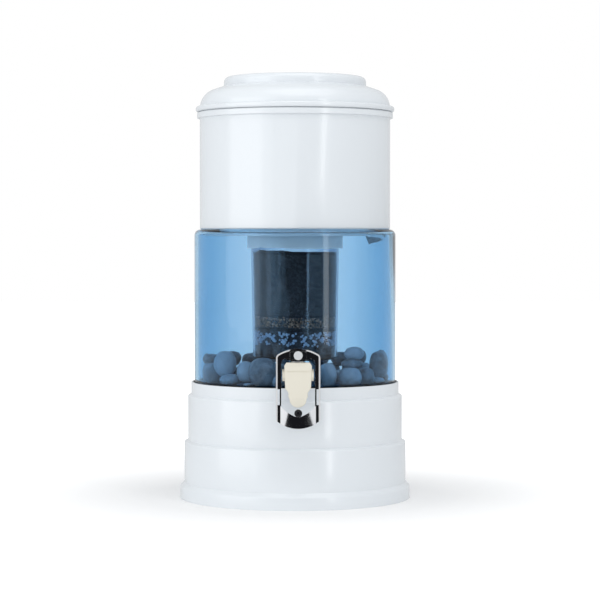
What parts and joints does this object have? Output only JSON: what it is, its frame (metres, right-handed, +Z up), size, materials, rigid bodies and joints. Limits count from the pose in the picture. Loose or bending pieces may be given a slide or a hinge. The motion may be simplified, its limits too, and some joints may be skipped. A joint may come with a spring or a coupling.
{
  "type": "gravity water filter with tap",
  "caption": "Countertop gravity water filter: white stepped stand, blue vessel with cartridge, pebbles and lever tap, white upper tank with ceramic pre-filter, and domed lid.",
  "frame": {"origin": "middle of the stand's foot, on the surface that the filter stands on, on the axis of the tanks", "axes": "+Z up along the tanks' axis, -Y towards the tap, +X to the right seen from the front"},
  "size_m": [0.2494, 0.2856, 0.455],
  "materials": {
    "white_plastic": "smooth glossy white moulding",
    "black_rubber": "soft black rubber",
    "silicone": "pale silicone",
    "blue_glass": "clear blue glass-like wall",
    "stones": "smooth dark river stones",
    "ceramic": "porous fired ceramic",
    "pale_plastic": "pale moulded plastic",
    "clear_cup": "clear moulded cup",
    "fibre_pad": "white fibre felt",
    "dark_grit": "dark mineral grit",
    "mineral": "brown mineral grains",
    "carbon": "black activated carbon grains",
    "chrome": "polished chrome",
    "steel": "plain stainless steel",
    "silver": "satin silver disc",
    "ivory_plastic": "smooth ivory moulding",
    "black_gloss": "polished black"
  },
  "bodies": {
    "stand": {"base_stand": "white_plastic", "vessel_seat_ring": "black_rubber"},
    "vessel": {"glass_vessel": "blue_glass", "pebbles": "stones", "tap_body": "chrome", "tap_outer_washer": "black_rubber", "tap_inner_washer": "black_rubber", "tap_nut": "chrome", "tap_bonnet": "pale_plastic", "tap_frame": "chrome", "frame_screw": "steel", "tap_badge": "silver", "ball_stud": "black_gloss", "valve_spring": "steel"},
    "lever": {"tap_lever": "ivory_plastic", "lever_pin": "steel"},
    "plunger": {"valve_plunger": "pale_plastic", "valve_seal": "silicone"},
    "tank": {"upper_tank": "white_plastic", "ceramic_dome": "ceramic", "ceramic_pan": "pale_plastic", "ceramic_gasket": "silicone", "filter_nut": "pale_plastic"},
    "cartridge_seal": {"cartridge_washer": "black_rubber"},
    "cartridge": {"cartridge_cap": "pale_plastic", "cartridge_cup": "clear_cup", "outlet_pad": "fibre_pad", "grit_bed": "dark_grit", "ball_bed": "dark_grit", "lower_pad": "fibre_pad", "mineral_bed": "mineral", "upper_pad": "fibre_pad", "carbon_bed": "carbon", "inlet_pad": "fibre_pad"},
    "lid": {"lid": "white_plastic"}
  },
  "joints": [
    {"name": "vessel_lift", "type": "slide", "parent": "stand", "child": "vessel", "axis": [0, 0, 1], "range_m": [0, 0.06]},
    {"name": "tank_lift", "type": "slide", "parent": "vessel", "child": "tank", "axis": [0, 0, 1], "range_m": [0, 0.15]},
    {"name": "lid_lift", "type": "slide", "parent": "tank", "child": "lid", "axis": [0, 0, 1], "range_m": [0, 0.06]},
    {"name": "tap_press", "type": "hinge", "parent": "vessel", "child": "lever", "pos_m": [0, -0.144, 0.1414], "axis": [1, 0, 0], "range_deg": [0, 12]},
    {"name": "plunger_lift", "type": "slide", "parent": "vessel", "child": "plunger", "axis": [0, 0, 1], "range_m": [0, 0.0043], "stiffness_N_per_m": 60, "deforming": ["valve_spring"]},
    {"name": "cartridge_drop", "type": "slide", "parent": "tank", "child": "cartridge_seal", "axis": [0, 0, -1], "range_m": [0, 0.006]},
    {"name": "cartridge_unscrew", "type": "hinge", "parent": "cartridge_seal", "child": "cartridge", "pos_m": [0, 0, 0.2829], "axis": [0, 0, -1], "range_deg": [0, 1080]}
  ],
  "couplings": [
    {"joint": "tap_press", "follows": "plunger_lift", "rad_per_m": 48.7},
    {"joint": "cartridge_drop", "follows": "cartridge_unscrew", "m_per_rad": 0.0003183}
  ]
}
